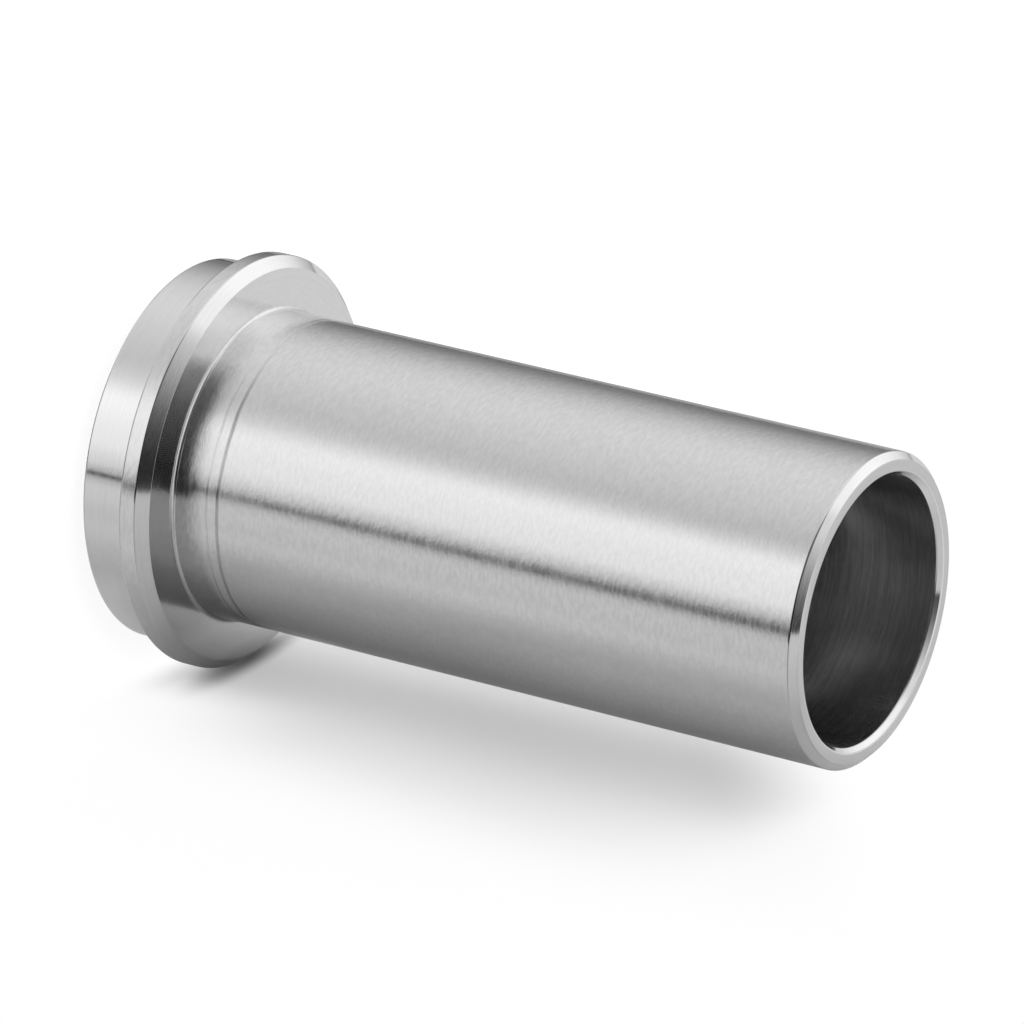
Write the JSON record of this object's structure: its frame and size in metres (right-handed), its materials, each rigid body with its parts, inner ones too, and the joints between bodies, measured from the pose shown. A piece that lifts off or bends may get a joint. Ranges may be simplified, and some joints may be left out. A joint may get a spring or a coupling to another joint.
{
  "type": "socket weld gland",
  "caption": "Turned metal tube gland with a stepped flat-faced head, a nut shoulder behind its collar and a tube socket for welding at the open end.",
  "frame": {"origin": "centre of the flat sealing face", "axes": "+Z along the bore towards the socket mouth, so the gland stands on its sealing face; X and Y are alike, as the gland is turned"},
  "size_m": [0.0202, 0.0202, 0.0376],
  "materials": {
    "steel": "finely turned, satin"
  },
  "bodies": {
    "root": {"gland": "steel"}
  },
  "joints": []
}
